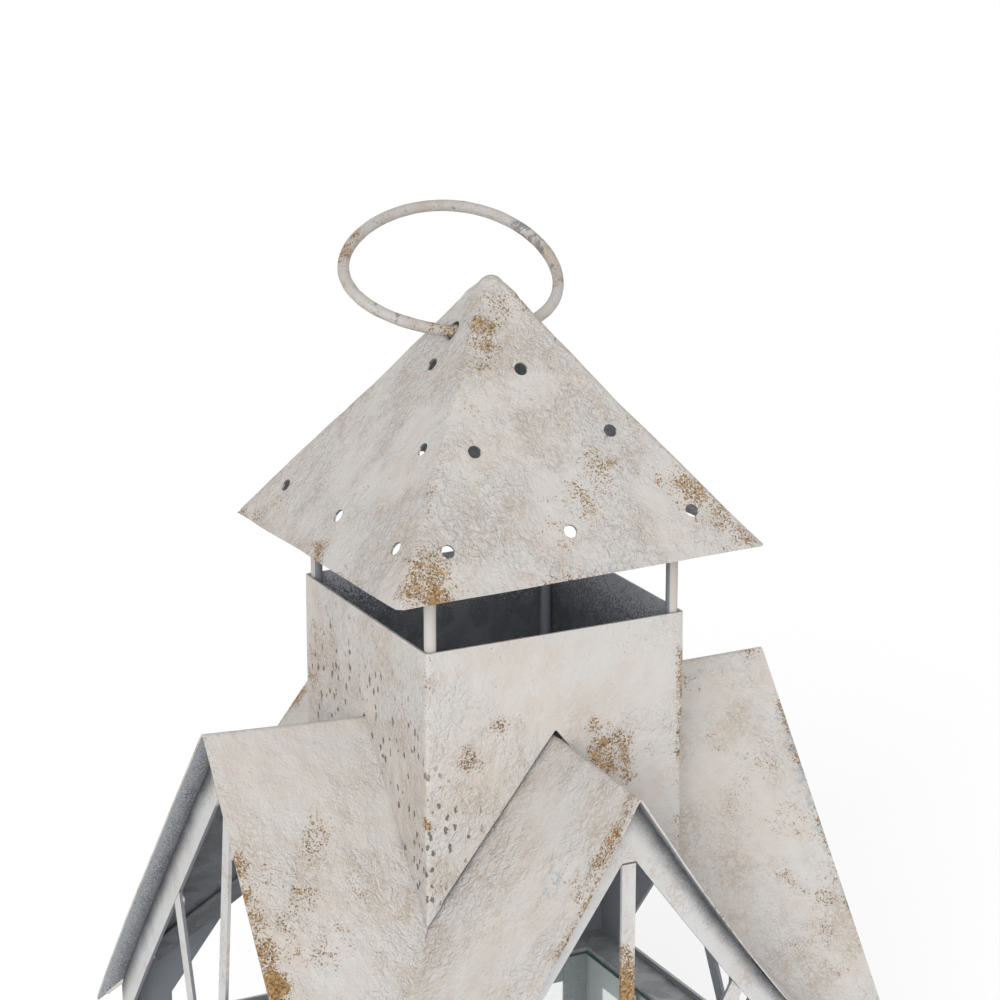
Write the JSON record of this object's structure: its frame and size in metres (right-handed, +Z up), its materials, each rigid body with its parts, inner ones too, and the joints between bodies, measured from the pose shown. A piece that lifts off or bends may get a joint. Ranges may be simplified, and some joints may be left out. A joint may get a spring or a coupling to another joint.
{
  "type": "candle lantern",
  "caption": "Square glazed candle lantern with a hinged door, cross-gabled sheet-metal roof, chimney, pierced pyramid cap and carrying ring.",
  "frame": {"origin": "on the surface that the feet stand on, under the middle of the chimney", "axes": "+Z up, -Y towards the door, +X to the right of a person who faces the door"},
  "size_m": [0.2628, 0.2628, 0.6665],
  "materials": {
    "aged_white_paint": "matt antique white paint, worn to gold and zinc at the edges",
    "painted_wire": "brushed antique white paint on wire",
    "zinc_plate": "dull galvanised",
    "aged_brass": "dull",
    "clear_glass": "clear float glass, green at its edges",
    "candle_wax": "satin ivory wax",
    "wick_cotton": "charred cotton"
  },
  "bodies": {
    "lantern": {"gable_roof_right": "aged_white_paint", "gable_frame_right": "aged_white_paint", "king_post_right": "aged_white_paint", "strut_right_1": "aged_white_paint", "strut_right_2": "aged_white_paint", "gable_roof_back": "aged_white_paint", "gable_frame_back": "aged_white_paint", "king_post_back": "aged_white_paint", "strut_back_1": "aged_white_paint", "strut_back_2": "aged_white_paint", "gable_roof_left": "aged_white_paint", "gable_frame_left": "aged_white_paint", "king_post_left": "aged_white_paint", "strut_left_1": "aged_white_paint", "strut_left_2": "aged_white_paint", "gable_roof_front": "aged_white_paint", "gable_frame_front": "aged_white_paint", "king_post_front": "aged_white_paint", "strut_front_1": "aged_white_paint", "strut_front_2": "aged_white_paint", "eave_plate": "zinc_plate", "chimney": "aged_white_paint", "vent_cap": "aged_white_paint", "cap_rod_1": "painted_wire", "cap_rod_2": "painted_wire", "cap_rod_3": "painted_wire", "cap_rod_4": "painted_wire", "corner_post_1": "aged_white_paint", "corner_post_2": "aged_white_paint", "corner_post_3": "aged_white_paint", "corner_post_4": "aged_white_paint", "top_rail_right": "aged_white_paint", "bottom_rail_right": "aged_white_paint", "glass_right": "clear_glass", "top_rail_back": "aged_white_paint", "bottom_rail_back": "aged_white_paint", "glass_back": "clear_glass", "top_rail_left": "aged_white_paint", "bottom_rail_left": "aged_white_paint", "glass_left": "clear_glass", "top_rail_front": "aged_white_paint", "bottom_rail_front": "aged_white_paint", "hinge_leaf_lower": "aged_brass", "hinge_pin_lower": "aged_brass", "hinge_leaf_upper": "aged_brass", "hinge_pin_upper": "aged_brass", "plinth": "aged_white_paint", "foot_1": "zinc_plate", "foot_2": "zinc_plate", "foot_3": "zinc_plate", "foot_4": "zinc_plate", "candle_dish": "zinc_plate", "candle": "candle_wax", "wick": "wick_cotton"},
    "ring": {"carry_ring": "painted_wire"},
    "door": {"door_frame": "aged_white_paint", "door_glass": "clear_glass"},
    "latch": {"latch_knob": "aged_brass", "latch_tongue": "aged_brass"}
  },
  "joints": [
    {"name": "ring_swing", "type": "hinge", "parent": "lantern", "child": "ring", "pos_m": [0, 0, 0.62538], "axis": [1, 0, 0], "range_deg": [-65, 178]},
    {"name": "door_swing", "type": "hinge", "parent": "lantern", "child": "door", "pos_m": [0.0915, -0.1089, 0.16], "axis": [0, 0, 1], "range_deg": [0, 165]},
    {"name": "latch_turn", "type": "hinge", "parent": "door", "child": "latch", "pos_m": [-0.084, -0.106, 0.16025], "axis": [0, 1, 0], "range_deg": [-90, 0]}
  ]
}
